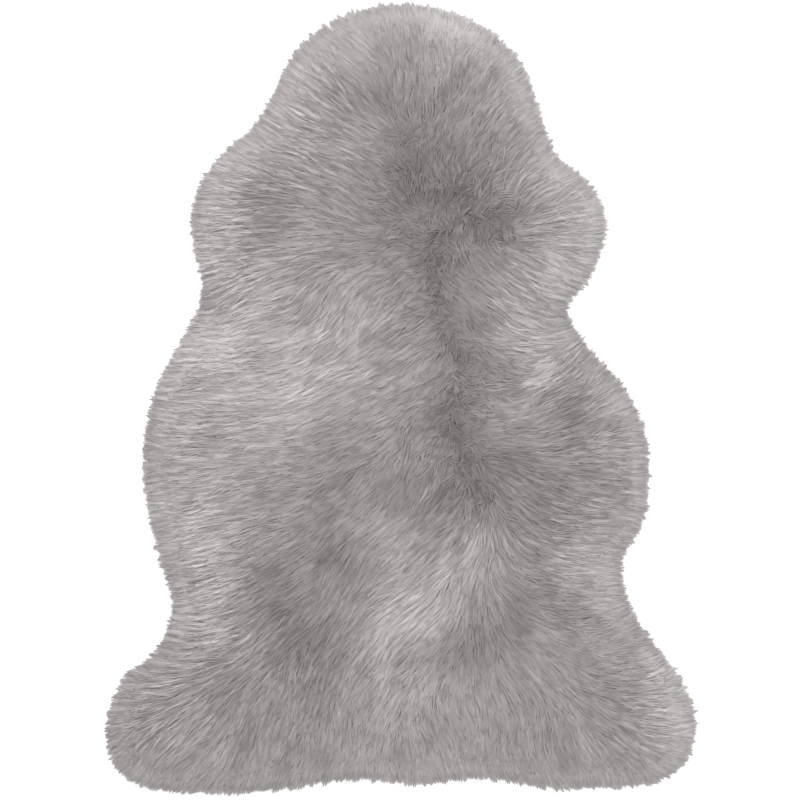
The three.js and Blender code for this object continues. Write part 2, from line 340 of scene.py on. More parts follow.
# The finishes: (position, grey) stops, noise scales and details, bump strengths and heights, shader values
FIBRE_STOPS = [(0.0, 0.88), (0.3, 0.92), (0.6, 0.965), (1.0, 1.0)]
FIBRE_STRETCH = (2.5, 260.0, 1.0)
STREAK_NOISE = (1.0, 2.0)
STREAK_STOPS = [(0.3, 0.955), (0.7, 1.0)]
STREAK_BUMP = (0.15, 0.0002)
CLOT_NOISE = (320.0, 4.0)
CLOT_STOPS = [(0.3, 0.84), (0.7, 0.98)]
CLOT_BUMP = (0.6, 0.001)
CLOUD_NOISE = (9.0, 5.0)
CLOUD_STOPS = (0.3, 0.7)
CLOUD_DARK = 0.78
NAP_NOISE = (900.0, 3.0)
NAP_STOPS = [(0.2, 0.86), (0.8, 1.0)]
NAP_BUMP = (0.4, 0.0003)
WOOL_FINISH = {"Roughness": 0.75, "Specular IOR Level": 0.25, "Sheen Weight": 0.25, "Sheen Roughness": 0.5}
FELT_FINISH = {"Roughness": 0.95, "Specular IOR Level": 0.1}
SUEDE_FINISH = {"Roughness": 0.9, "Sheen Weight": 0.3}
FLOOR_FINISH = {
    "Base Color": (0.95, 0.95, 0.95, 1), "Roughness": 0.9, "Specular IOR Level": 0.1,
    "Emission Color": (1, 1, 1, 1), "Emission Strength": 0.3,
}

# The stage: the floor's half side and drop, the light of the surroundings, two soft lamps, and the camera
# with the width that it sees at a height, in metres, millimetres of sensor and watts
FLOOR_HALF = 7.0
FLOOR_DROP = 0.0003
STUDIO_LIGHT = 0.95
Lamp = namedtuple("Lamp", "title place side power")
LAMPS = [Lamp("key", (-1.6, 1.4, 2.6), 1.8, 38), Lamp("fill", (1.8, -1.2, 2.4), 2.2, 20)]
CAMERA_PLACE = (-0.0011, -0.0017, 3.4)
CAMERA_SENSOR = 36
SEEN_WIDTH = 0.9057
SEEN_HEIGHT = 0.012


def along_curve(points, closed):
    """A smooth line through points: each stretch between two of them is the centripetal Catmull-Rom cubic."""
    points = np.asarray(points, float)
    if closed:
        ring = np.concatenate([points[-1:], points, points[:2]])
    else:
        ring = np.concatenate([2 * points[:1] - points[1:2], points, 2 * points[-1:] - points[-2:-1]])
    a, b, c, d = ring[:-3], ring[1:-2], ring[2:-1], ring[3:]
    ab, bc, cd = (np.sqrt(np.linalg.norm(q - p, axis=1))[:, None] for p, q in ((a, b), (b, c), (c, d)))
    leave = ((b - a) / ab - (c - a) / (ab + bc) + (c - b) / bc) * bc
    arrive = ((c - b) / bc - (d - b) / (bc + cd) + (d - c) / cd) * bc
    t = np.linspace(0, 1, STRETCH_STEPS, endpoint=False)[:, None, None]
    line = (b * (2 * t**3 - 3 * t**2 + 1) + leave * (t**3 - 2 * t**2 + t)
            + c * (3 * t**2 - 2 * t**3) + arrive * (t**3 - t**2))
    line = line.transpose(1, 0, 2).reshape(-1, points.shape[1])
    return np.concatenate([line, points[:1] if closed else points[-1:]])


def run_of(line):
    """The distance along a line to each of its points."""
    return np.concatenate([[0], np.cumsum(np.linalg.norm(np.diff(line, axis=0), axis=1))])


def in_steps(line, count):
    """The same line in a number of even steps."""
    run = run_of(line)
    at = np.linspace(0, run[-1], count + 1)
    return np.stack([np.interp(at, run, line[:, k]) for k in range(line.shape[1])], axis=1)


def even_steps(line, pitch):
    """The same line with its points at even steps of about the pitch."""
    return in_steps(line, int(round(run_of(line)[-1] / pitch)))


def pelt_outline():
    """The closed outline of the wool's tips, anticlockwise from the rump's left, centred on its own box."""
    right = [(row.right, row.along) for row in FLANKS]
    left = [(row.left, row.along) for row in reversed(FLANKS)]
    line = along_curve([*RUMP, *right, *NECK, *left], True)
    return line - (line.min(0) + line.max(0)) / 2


def blend(first, second, share):
    """A share of the way from one value to another."""
    return first * (1 - share) + second * share


def squares_of(line):
    """Unit vectors square to a closed anticlockwise line, pointing out of it."""
    run = np.roll(line, -1, axis=0) - np.roll(line, 1, axis=0)
    return np.stack([run[:, 1], -run[:, 0]], axis=1) / np.linalg.norm(run, axis=1)[:, None]


def pelt_grid(inset, pitch):
    """A grid over the pelt drawn in by an inset: a Coons patch, which is the blend between the two flanks
    plus the blend between rump and neck, less the blend of the four corners."""
    line = pelt_outline()[:-1]
    line = np.roll(line - squares_of(line) * inset, STRETCH_STEPS, axis=0)
    line = np.concatenate([line, line[:1]])
    side = len(FLANKS) - 1 + CORNER_SPOTS
    stretches = [0, len(RUMP) + 1, side, len(NECK) + 1 - 2 * CORNER_SPOTS, side]
    marks = STRETCH_STEPS * np.cumsum(stretches)
    rump, right, neck, left = (line[a:b + 1] for a, b in zip(marks, marks[1:]))
    across = int(round(np.ptp(line[:, 0]) / pitch))
    along = int(round(np.ptp(line[:, 1]) / pitch))
    rump, neck = in_steps(rump, across)[None], in_steps(neck[::-1], across)[None]
    right, left = in_steps(right, along)[:, None], in_steps(left[::-1], along)[:, None]
    u = np.linspace(0, 1, across + 1)[None, :, None]
    v = np.linspace(0, 1, along + 1)[:, None, None]
    low, high = (blend(end[:, :1], end[:, -1:], u) for end in (rump, neck))
    return blend(rump, neck, v) + blend(left, right, u) - blend(low, high, v)


def stray(i, j):
    """A repeatable number from -1 to 1 for whole-numbered places: the broken part of a steep sine wave."""
    wave = np.sin(STRAY_STEPS[0] * i + STRAY_STEPS[1] * j) * STRAY_STEEP
    return 2 * (wave - np.floor(wave)) - 1


def grain(x, y):
    """Smooth bumps from -1 to 1: strays at the corners of squares a tuft wide, eased from one to the next."""
    x, y = x / TUFT_WIDTH, y / TUFT_WIDTH
    i, j = np.floor(x), np.floor(y)
    u, v = x - i, y - j
    u, v = u * u * (3 - 2 * u), v * v * (3 - 2 * v)
    low, high = (blend(stray(i, row), stray(i + 1, row), u) for row in (j, j + 1))
    return blend(low, high, v)


def turned(vector, angle):
    """Flat vectors turned by angles."""
    c, s = np.cos(angle), np.sin(angle)
    return np.stack([vector[..., 0] * c - vector[..., 1] * s, vector[..., 0] * s + vector[..., 1] * c], -1)


def unit(vector):
    """Vectors brought to length one."""
    return vector / (np.linalg.norm(vector, axis=-1, keepdims=True) + TINY)


class Survey:
    """The pelt on a square lattice: its inset from the outline, pile height, and the wool's lie and tone."""

    def __init__(self, sizes):
        outline = pelt_outline()
        reach = np.abs(outline).max(0) + LATTICE_MARGIN
        self.low = -reach
        across = np.arange(-reach[0], reach[0], LATTICE_PITCH)
        along = np.arange(-reach[1], reach[1], LATTICE_PITCH)
        place = np.stack(np.meshgrid(across, along), axis=-1)
        rim = even_steps(outline, LINE_PITCH)[:-1]
        self.rim = rim
        gap, spot = self.nearest(place, rim)
        self.outward = squares_of(rim)[spot]
        side = ((place - rim[spot]) * self.outward).sum(-1)
        self.inset = np.where(side < 0, gap, -gap)
        parting = even_steps(along_curve(PARTING, False), LINE_PITCH)
        self.from_parting = self.nearest(place, parting)[0]
        self.comb_line = even_steps(along_curve(COMB_LINE, False), LINE_PITCH)
        near = np.exp(-((self.nearest(place, self.comb_line)[0] / PARTING_REACH) ** 2))
        self.bare = np.clip(near + self.bells(place, TOUSLED), 0, 1)
        self.tuft = self.tufted(place, parting)
        self.pile = self.piled(sizes.pile_height / MM)
        self.heading = self.combed(place, near)
        self.tone = self.toned(place, near)
        self.crisp = np.maximum(CRISP_BACK + self.bells(place, CRISP), CRISP_LEAST)

    @staticmethod
    def nearest(place, line):
        """The distance to the nearest point of a line, and which point that is."""
        gap = np.hypot(place[..., None, 0] - line[:, 0], place[..., None, 1] - line[:, 1])
        near = gap.argmin(-1)
        return np.take_along_axis(gap, near[..., None], -1)[..., 0], near

    @staticmethod
    def tufted(place, parting):
        """Bumps averaged along the way that leads off from the parting, so that they lie in long tufts."""
        away = place[..., None, :] - parting
        weight = 1 / (1 + (away**2).sum(-1)) ** 2
        lie = unit((away * weight[..., None]).sum(-2))
        steps = TUFT_LENGTH * np.linspace(-0.5, 0.5, TUFT_STEPS)[:, None, None, None]
        walk = place + lie * steps
        return grain(walk[..., 0], walk[..., 1]).mean(0)

    def piled(self, tall):
        """A quarter-ellipse roll from the rim to the full pile, lower along the parting, plus the tufts."""
        inset = self.inset - SLAB_INSET
        roll = 1 - np.clip(inset / ROLL_WIDTH, 0, 1)
        body = EDGE_HEIGHT + (tall - EDGE_HEIGHT) * np.sqrt(1 - roll**2)
        fall = np.clip(1 + inset / FALL_WIDTH, FALL_LEAST, 1)
        groove = PARTING_DEPTH * np.exp(-((self.from_parting / PARTING_WIDTH) ** 2))
        lump = TUFT_HEIGHT * self.tuft * np.clip(inset / TUFT_WIDTH, 0, 1)
        return np.where(inset < 0, EDGE_HEIGHT * fall, body - groove + lump)

    def side_of_comb(self, place):
        """Which side of the comb line places lie on: near one on its left, minus one on its right, and
        passing through nothing ahead of its ends. It is the sine of the angle from the line to the place."""
        gap, near = self.nearest(place, self.comb_line)
        lie = unit(np.gradient(self.comb_line, axis=0))[near]
        away = place - self.comb_line[near]
        return (lie[..., 0] * away[..., 1] - lie[..., 1] * away[..., 0]) / (gap + PARTING_BLUR)

    def combed(self, place, near):
        """Headings blended from the strokes of the comb, the near ones counting most and those across the
        comb line as if they lay further off, turned towards the outward direction close to the rim, and
        swaying a little in waves of two widths."""
        across, along, heading = np.array(COMBING, float).T
        stroke, turn = np.stack([across, along], -1), np.radians(heading)
        gap = ((place[..., None, :] - stroke) ** 2).sum(-1)
        apart = self.side_of_comb(place)[..., None] - self.side_of_comb(stroke)
        gap = gap + (0.5 * PARTING_WALL * apart) ** 2
        weight = 1 / (gap + COMB_REACH**2) ** 2
        lie = unit(np.stack([(weight * np.cos(turn)).sum(-1), (weight * np.sin(turn)).sum(-1)], -1))
        edge = RIM_TURN * np.exp(-np.clip(self.inset, 0, None) / RIM_REACH)[..., None]
        lie = unit(blend(lie, self.outward, edge))
        sway = np.zeros(near.shape)
        for wide, most in zip(SWAY_WIDTHS, SWAY_TURNS):
            wave = grain(place[..., 0] / wide + SWAY_SHIFT, place[..., 1] / wide)
            sway += most * (1 + PARTING_SWAY * near) * wave
        return turned(lie, sway)

    @staticmethod
    def bells(place, patches):
        """The sum of soft patches, each a bell curve with a long and a wide reach, turned its own way."""
        across, along, long, wide, points, shade = np.array(patches, float).T
        away = place[..., None, :] - np.stack([across, along], -1)
        gap = turned(away, -np.radians(points)) / np.stack([long, wide], -1)
        return (shade * np.exp(-(gap**2).sum(-1))).sum(-1)

    def toned(self, place, near):
        """Tone with painted light and shade: soft patches, tuft tops and rim painted lighter, hollows and
        comb line darker.
        """
        patches = self.bells(place, TONE_AND_SHADING_PATCHES)
        rim = PAINTED_RIM_LIGHT * np.exp(-np.clip(self.inset, 0, None) / PAINTED_RIM_REACH)
        return patches + TUFT_PAINTED_SHADING * self.tuft + rim - PARTING_PAINTED_SHADE * near

    def read(self, name, place):
        """A field of the survey at any places, blended from the four lattice points around each."""
        field = getattr(self, name)
        spot = (place - self.low) / LATTICE_PITCH
        top = np.array([field.shape[1], field.shape[0]]) - LATTICE_END
        spot = np.clip(spot, 0, top)
        cell = spot.astype(int)
        share = spot - cell
        i, j = cell[..., 0], cell[..., 1]
        u, v = share[..., 0], share[..., 1]
        if field.ndim == 3:
            u, v = u[..., None], v[..., None]
        low, high = (blend(field[row, i], field[row, i + 1], u) for row in (j, j + 1))
        return blend(low, high, v)


_surveys = {}


def survey_of(context):
    """The survey of the pelt, made once for each pile height."""
    sizes = context.scene.sheepskin
    key = round(sizes.pile_height, 6)
    if key not in _surveys:
        _surveys[key] = Survey(sizes)
    return _surveys[key]


def fill(rows, key, values, kind=np.float32):
    """Sets one value of every row of a mesh's data."""
    rows.foreach_set(key, np.ascontiguousarray(values, kind).ravel())


def linked(name, data):
    """An object with its data, linked to the scene."""
    made = bpy.data.objects.new(name, data)
    bpy.context.scene.collection.objects.link(made)
    return made


def new_piece(name, verts, loops, counts, material, maps=None, normals=None, fields=None):
    """A mesh object at the origin from whole arrays: points in millimetres, the corners of its faces, the
    number of corners to a face, and where they are given its maps and normals at the corners and its named
    values at the points."""
    mesh = bpy.data.meshes.new(name)
    mesh.vertices.add(len(verts))
    fill(mesh.vertices, "co", verts * MM)
    mesh.loops.add(len(loops))
    fill(mesh.loops, "vertex_index", loops, np.int32)
    mesh.polygons.add(len(counts))
    fill(mesh.polygons, "loop_start", np.concatenate([[0], np.cumsum(counts)[:-1]]), np.int32)
    mesh.update(calc_edges=True)
    for title, spots in (maps or {}).items():
        fill(mesh.uv_layers.new(name=title).data, "uv", spots)
    for title, values in (fields or {}).items():
        fill(mesh.attributes.new(title, "FLOAT", "POINT").data, "value", values)
    mesh.shade_smooth()
    if mesh.validate():
        raise RuntimeError(f"{name} has faces that don't hold together")
    if normals is not None:
        mesh.normals_split_custom_set(normals)
    mesh.materials.append(material)
    piece = linked(name, mesh)
    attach(piece, "root")
    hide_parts(PELT)
    return piece


def border_of(grid):
    """The border of a grid, anticlockwise from its first corner."""
    return np.concatenate([grid[0, :-1], grid[:-1, -1], grid[-1, :0:-1], grid[:0:-1, 0]])


def slab_arrays(grid, top, bottom):
    """A closed slab over a grid of places: the grid at its top heights, the same grid turned over at its
    bottom heights, and a wall between their borders."""
    rows, cols = grid.shape[:2]
    upper = np.concatenate([grid, top[..., None]], -1).reshape(-1, 3)
    lower = np.concatenate([grid, bottom[..., None]], -1).reshape(-1, 3)
    index = np.arange(rows * cols).reshape(rows, cols)
    cells = np.stack([index[:-1, :-1], index[:-1, 1:], index[1:, 1:], index[1:, :-1]], -1).reshape(-1, 4)
    border = border_of(index)
    after = np.roll(border, -1)
    under = rows * cols
    wall = np.stack([border + under, after + under, after, border], -1)
    quads = np.concatenate([cells, cells[:, ::-1] + under, wall])
    return np.concatenate([upper, lower]), quads.ravel(), np.full(len(quads), 4)


def wisp_arrays(root, middle, tip, width, shade):
    """Closed tapered wisps. Each runs from root by middle to tip with a three-cornered ring at the first two
    and a point at the last. Its normals lean little to the sides, and straight down on its sole. The map's
    first coordinate runs from root to tip, and its second is the wisp's shade plus a narrow window across its
    width."""
    count = len(root)
    lie = unit((tip - root)[:, :2])
    side = np.column_stack([lie[:, 1], -lie[:, 0], np.zeros(count)])
    corners, normals, crests = [], [], []
    for ring, run, swell in ((root, middle - root, WISP_SWELL[0]), (middle, tip - root, WISP_SWELL[1])):
        top = unit(np.cross(side, run))
        half = 0.5 * swell * width[:, None]
        base = ring - top * half * WISP_SOLE
        corners += [base - side * half, ring + top * half * WISP_CREST, base + side * half]
        normals += [unit(top - side * WISP_LEAN), top, unit(top + side * WISP_LEAN)]
        crests += [top, top, top]
    corners.append(tip)
    crests.append(unit(np.cross(side, tip - middle)))
    normals.append(crests[-1])
    verts = np.stack(corners, axis=1)
    verts[..., 2] = np.maximum(verts[..., 2], LEAST_HEIGHT / 2)
    sole = np.repeat(WISP_SOLES, WISP_COUNTS)
    facing = np.stack(normals, axis=1)[:, WISP_FACES]
    facing[:, sole] = -np.stack(crests, axis=1)[:, WISP_FACES[sole]]
    loops = (WISP_FACES[None] + len(corners) * np.arange(count)[:, None]).ravel()
    spots = np.empty((count, len(WISP_FACES), 2))
    spots[..., 0] = WISP_ALONG[WISP_FACES][None]
    spots[..., 1] = shade[:, None] + SHADE_WINDOW * WISP_ACROSS[WISP_FACES][None]
    spots = np.clip(spots, MAP_MARGIN, 1 - MAP_MARGIN).reshape(-1, 2)
    return verts.reshape(-1, 3), loops, np.tile(WISP_COUNTS, count), spots, facing.reshape(-1, 3)


def scatter(survey, pitch, inset, chance):
    """Places on a grid of equal triangles, shaken by part of the pitch, that lie far enough from the rim."""
    reach = -survey.low
    rows = np.arange(-reach[1], reach[1], pitch * TRIANGLE_HEIGHT)
    cols = np.arange(-reach[0], reach[0], pitch)
    x, y = np.meshgrid(cols, rows)
    x = x + 0.5 * pitch * (np.arange(len(rows)) % 2)[:, None]
    place = np.stack([x.ravel(), y.ravel()], -1)
    place += chance.uniform(-SHAKE, SHAKE, place.shape) * pitch
    return place[survey.read("inset", place) > inset]


def nearest_root(place, roots):
    """For each place, which of the roots is nearest, worked out in batches."""
    found = []
    for batch in np.array_split(place, max(len(place) // ROOT_BATCH, 1)):
        found.append(((batch[:, None] - roots[None]) ** 2).sum(-1).argmin(1))
    return np.concatenate(found)


def combed_steps(survey, place, swing, step):
    """Two steps from places with the lie of the wool, each turned by the same swing."""
    first = turned(unit(survey.read("heading", place)), swing) * step[:, None]
    second = turned(unit(survey.read("heading", place + first)), swing) * step[:, None]
    return first, second


def strands_at(survey, place):
    """How far places lie on a strand or between two: fine bumps averaged along the lie of the wool, less the
    mean of the same a strand's pitch to either side, brought to an even spread."""
    ridge = np.zeros(len(place))
    side = STRAND_PITCH * turned(unit(survey.read("heading", place)), np.pi / 2)
    scale = TUFT_WIDTH / STRAND_GRAIN
    for aside, weight in ((0, 1), (-1, -0.5), (1, -0.5)):
        for way in (-1, 1):
            spot = place + aside * side
            for _ in range(STRAND_STEPS):
                spot = spot + way * STRAND_LENGTH / (2 * STRAND_STEPS) * unit(survey.read("heading", spot))
                ridge += weight * grain(spot[:, 0] * scale, spot[:, 1] * scale)
    return ridge / ridge.std()


Locks = namedtuple("Locks", "root first second rise shade bare spread gather early blunt loose")


def grow_locks(survey, sizes, chance):
    """Locks of wool gathered in staples. A staple takes two steps with the comb. Its locks start around its
    root, follow it by a share and draw together towards its tip, stand highest in its middle, painted lighter
    there and darker towards its edges as painted shade in the valleys, and are cut short where they would
    pass the rim."""
    pitch = sizes.staple_pitch / MM
    staples = scatter(survey, pitch, sizes.root_inset / MM - pitch, chance)
    wide = len(staples)
    bare = survey.read("bare", staples)
    step = 0.5 * sizes.wool_length / MM * (1 - PARTING_SHORT * bare)
    swing = chance.normal(0, 1, wide) * (STAPLE_SWING + PARTING_SWING * bare)
    lead = combed_steps(survey, staples, swing, step)
    staple_rise = chance.normal(0, STAPLE_RISE, wide)
    staple_shade = chance.normal(0, STAPLE_SHADE, wide)
    roots = scatter(survey, sizes.lock_pitch / MM, sizes.root_inset / MM, chance)
    count = len(roots)
    mine = nearest_root(roots, staples)
    offset = roots - staples[mine]
    bare = survey.read("bare", roots)
    step = 0.5 * sizes.wool_length / MM * chance.uniform(*LOCK_LENGTHS, count) * (1 - PARTING_SHORT * bare)
    swing = chance.normal(0, 1, count) * (LOCK_SWING + PARTING_SWING * bare)
    own = combed_steps(survey, roots, swing, step)
    pull = sizes.staple_gather * (1 - bare)[:, None]
    first = blend(own[0], lead[0][mine], STAPLE_HOLD) - MIDDLE_DRAW * offset * pull
    second = blend(own[1], lead[1][mine], STAPLE_HOLD) - (1 - MIDDLE_DRAW) * offset * pull
    crown = 1 - np.clip((offset**2).sum(-1) / (STAPLE_SPREAD * pitch) ** 2, 0, 1)
    rise = staple_rise[mine] + STAPLE_CROWN * (crown - 0.5) * (1 - bare) + chance.normal(0, LOCK_RISE, count)
    shade = MID_SHADE + survey.read("tone", roots + first) + staple_shade[mine]
    shade += chance.normal(0, LOCK_SHADE, count)
    # Painted shade: lighter on the staple's crown, darker in the valleys between staples
    shade += VALLEY_PAINTED_SHADE * (crown - 0.5)
    over = chance.uniform(*LOCK_OVER, count)
    inside, outside = survey.read("inset", roots), survey.read("inset", roots + first + second)
    share = (inside + over) / np.maximum(inside - outside, TRIM_RUN)
    trim = np.where(outside < -over, np.clip(share, TRIM_LEAST, 1), 1)
    loose = np.where(trim < 1, RIM_LOOSE, 1)
    even = (LOCK_SPREAD * sizes.lock_pitch / MM, sizes.gather, MIDDLE_DRAW)
    spread, gather, early = (np.full(count, value) for value in even)
    first, second = first * trim[:, None], second * trim[:, None]
    blunt = RIM_BLUNT * (1 - trim)
    return Locks(roots, first, second, rise, shade, bare, spread, gather, early, blunt, loose)


def grow_fringe(survey, chance):
    """Locks along the rim that end in points past it. Each is traced back from its tip against the comb until
    it is well inside the rim."""
    rim = even_steps(np.concatenate([survey.rim, survey.rim[:1]]), FRINGE_PITCH)[:-1]
    count = len(rim)
    out = squares_of(rim)
    aside = chance.uniform(-FRINGE_SHAKE, FRINGE_SHAKE, count) * FRINGE_PITCH
    tall = chance.uniform(*FRINGE_OVER, count)
    tip = rim + turned(out, np.pi / 2) * aside[:, None] + out * tall[:, None]
    lie = unit(survey.read("heading", tip))
    reach = FRINGE_INSET / np.clip((lie * out).sum(-1), FRINGE_SLANT, 1)
    step = 0.5 * lie * reach[:, None]
    root = tip - 2 * step
    shade = MID_SHADE + survey.read("tone", root + step) + chance.normal(0, LOCK_SHADE, count)
    none = np.zeros(count)
    even = (FRINGE_SPREAD, FRINGE_GATHER, FRINGE_BLUNT, FRINGE_LOOSE)
    spread, gather, blunt, loose = (np.full(count, value) for value in even)
    early = chance.uniform(*FRINGE_DRAW, count)
    return Locks(root, step, step, none, shade, none, spread, gather, early, blunt, loose)


def grow(survey, sizes, chance):
    """Roots, middles and tips of the wisps of all locks, with their widths and shades. The wisps of a lock
    start on a sunflower spiral around its root, follow it and draw together towards its tip, at the rim into
    a point, and start further back along the comb line so that they cross it."""
    body, fringe = grow_locks(survey, sizes, chance), grow_fringe(survey, chance)
    count, many = len(body.root) + len(fringe.root), sizes.wisps_per_lock
    total = count * many
    lock = Locks(*(np.repeat(np.concatenate(pair), many, axis=0) for pair in zip(body, fringe)))
    place = np.tile(np.arange(many), count)
    angle = GOLDEN_ANGLE * place + np.repeat(chance.uniform(0, 2 * np.pi, count), many)
    radius = lock.spread * np.sqrt((place + chance.uniform(0, 1, total)) / many)
    offset = np.stack([np.cos(angle), np.sin(angle)], -1) * radius[:, None]
    twist = chance.normal(0, WISP_SWING, total) * lock.loose
    stretch = (1 + lock.loose * (chance.uniform(*WISP_LENGTHS, total) - 1))[:, None]
    root = lock.root + offset - PARTING_BACK * lock.first * lock.bare[:, None]
    draw = offset * lock.gather[:, None]
    first, second = turned(lock.first, twist) * stretch, turned(lock.second, twist) * stretch
    middle = root + first + lock.blunt[:, None] * second - lock.early[:, None] * draw
    tip = root + first + second - draw
    inside = survey.read("inset", root)
    strand = strands_at(survey, middle) * (1 - STRAND_CALM * lock.bare)
    crisp = survey.read("crisp", middle)
    rise = lock.rise + STRAND_RISE * strand + chance.normal(0, WISP_RISE, total)
    rise = rise * crisp * np.clip(inside / RIM_RISE, RIM_RISE_LEAST, 1)
    depth = UNDERWOOL_SHARE + PARTING_SHARE * lock.bare
    low = np.maximum(depth * survey.read("pile", root) - ROOT_DEPTH, LEAST_HEIGHT)
    mid = np.maximum(survey.read("pile", middle) + rise, LEAST_HEIGHT)
    high = np.maximum(survey.read("pile", tip) + TIP_RISE + rise, LEAST_HEIGHT)
    width = sizes.wisp_width / MM * chance.uniform(*WISP_WIDTHS, total) * (1 + RIM_SWELL * lock.blunt)
    # Painted light on the strands and painted shade between them, painted highlights on some wisps and a
    # painted shadow on others, on top of the wisps' random tone
    fine = STRAND_PAINTED_SHADING * strand + chance.normal(0, WISP_SHADE, total)
    fine += GLINT_PAINTED_LIGHT * (chance.uniform(0, 1, total) < GLINT_PAINTED_SHARE)
    fine -= SHADOW_SHADE * (chance.uniform(0, 1, total) < SHADOW_SHARE)
    shade = lock.shade + crisp * fine
    keep = inside > FRINGE_KEEP
    spots = [np.column_stack(pair) for pair in ((root, low), (middle, mid), (tip, high))]
    return [part[keep] for part in (*spots, width, shade)]


def node(tree, kind, place, inputs=None):
    """A shader node with its inputs by socket name: an output of another node is linked, a value set."""
    made = tree.nodes.new(kind)
    made.location = place
    for key, value in (inputs or {}).items():
        if isinstance(value, NodeSocket):
            tree.links.new(value, made.inputs[key])
        else:
            made.inputs[key].default_value = value
    return made


def noise(tree, place, where, look):
    """Noise of a (scale, detail) look at a vector."""
    inputs = {"Vector": where, "Scale": look[0], "Detail": look[1]}
    return node(tree, "ShaderNodeTexNoise", place, inputs).outputs["Fac"]


def graded(tree, place, value, stops):
    """A value taken through a colour ramp of (position, grey or colour) stops."""
    made = node(tree, "ShaderNodeValToRGB", place, {"Fac": value})
    band = made.color_ramp
    while len(band.elements) < len(stops):
        band.elements.new(MID_SHADE)
    for element, (position, colour) in zip(band.elements, stops):
        element.position = position
        element.color = (*colour, 1) if hasattr(colour, "__len__") else (colour, colour, colour, 1)
    return made.outputs["Color"]


def times(tree, place, first, second):
    """The product of two colours."""
    made = tree.nodes.new("ShaderNodeMix")
    made.location = place
    made.data_type = "RGBA"
    made.blend_type = "MULTIPLY"
    made.inputs["Factor"].default_value = 1
    tree.links.new(first, made.inputs["A"])
    tree.links.new(second, made.inputs["B"])
    return made.outputs["Result"]


def ruffle(tree, place, shader, height, look):
    """A bump of a (strength, distance) look under a shader, from a height."""
    made = node(tree, "ShaderNodeBump", place, {"Height": height, "Strength": look[0], "Distance": look[1]})
    tree.links.new(made.outputs["Normal"], shader.inputs["Normal"])


def fresh_material(name, finish):
    """A material whose node tree holds only its shader, with the values of a finish, and its output."""
    material = bpy.data.materials.new(name)
    material.use_nodes = True
    tree = material.node_tree
    tree.nodes.clear()
    shader = node(tree, "ShaderNodeBsdfPrincipled", (400, 0), finish)
    node(tree, "ShaderNodeOutputMaterial", (700, 0), {"Surface": shader.outputs["BSDF"]})
    return material, tree, shader


def flecked(tree, shader, shade, flecks, stops, bump):
    """A shader's colour, a shade times flecks of noise taken through stops, and its bump from the flecks."""
    band = graded(tree, (-350, -150), flecks, stops)
    tree.links.new(times(tree, (50, 50), shade, band), shader.inputs["Base Color"])
    ruffle(tree, (50, -350), shader, flecks, bump)


def wool_shades(colours):
    """Stops from dark to light wool."""
    shades = (colours.dark_wool_and_shade, colours.wool, colours.light_wool_and_highlight)
    return [(stop, tuple(shade)) for stop, shade in zip((0.0, MID_SHADE, 1.0), shades)]


def combed_wool(colours):
    """Wool fibres on the wisp's own map: its shade sets how light it is, its length lightens it from root to
    tip, and fine streaks run along it."""
    material, tree, shader = fresh_material("combed wool", WOOL_FINISH)
    where = node(tree, "ShaderNodeUVMap", (-1000, 0))
    where.uv_map = FIBRE_MAP
    spot = where.outputs["UV"]
    split = node(tree, "ShaderNodeSeparateXYZ", (-800, 0), {"Vector": spot})
    stretch = node(tree, "ShaderNodeMapping", (-800, -350), {"Vector": spot, "Scale": FIBRE_STRETCH})
    streak = noise(tree, (-620, -350), stretch.outputs["Vector"], STREAK_NOISE)
    shade = graded(tree, (-500, 200), split.outputs["Y"], wool_shades(colours))
    length = graded(tree, (-500, 0), split.outputs["X"], FIBRE_STOPS)
    flecked(tree, shader, times(tree, (-150, 150), shade, length), streak, STREAK_STOPS, STREAK_BUMP)
    return material


def felted_wool(colours):
    """The dense wool close to the skin: the fleece's shade with its painted light and shade, clotted with
    noise.
    """
    material, tree, shader = fresh_material("felted underwool", FELT_FINISH)
    tone = node(tree, "ShaderNodeAttribute", (-900, 200))
    tone.attribute_name = TONE_FIELD
    where = node(tree, "ShaderNodeTexCoord", (-900, -100))
    clots = noise(tree, (-650, -100), where.outputs["Object"], CLOT_NOISE)
    shade = graded(tree, (-350, 200), tone.outputs["Fac"], wool_shades(colours))
    flecked(tree, shader, shade, clots, CLOT_STOPS, CLOT_BUMP)
    return material


def suede(colours):
    """The tanned skin side: a pale nap, mottled in broad clouds with a fine grain."""
    material, tree, shader = fresh_material("suede skin", SUEDE_FINISH)
    where = node(tree, "ShaderNodeTexCoord", (-900, 0))
    clouds = noise(tree, (-650, 150), where.outputs["Object"], CLOUD_NOISE)
    nap = noise(tree, (-650, -150), where.outputs["Object"], NAP_NOISE)
    pale = tuple(colours.skin)
    mottle = zip(CLOUD_STOPS, (tuple(CLOUD_DARK * part for part in pale), pale))
    shade = graded(tree, (-350, 150), clouds, list(mottle))
    flecked(tree, shader, shade, nap, NAP_STOPS, NAP_BUMP)
    return material


def metres(title, about, usual, least, most):
    """A length in metres."""
    return FloatProperty(name=title, description=about, default=usual, min=least, max=most, unit="LENGTH")


def fraction(title, about, usual):
    """A share from nothing to all."""
    return FloatProperty(name=title, description=about, default=usual, min=0, max=1, subtype="FACTOR")


def tint(title, about, usual):
    """A colour."""
    return FloatVectorProperty(name=title, description=about, default=usual, min=0, max=1, subtype="COLOR")


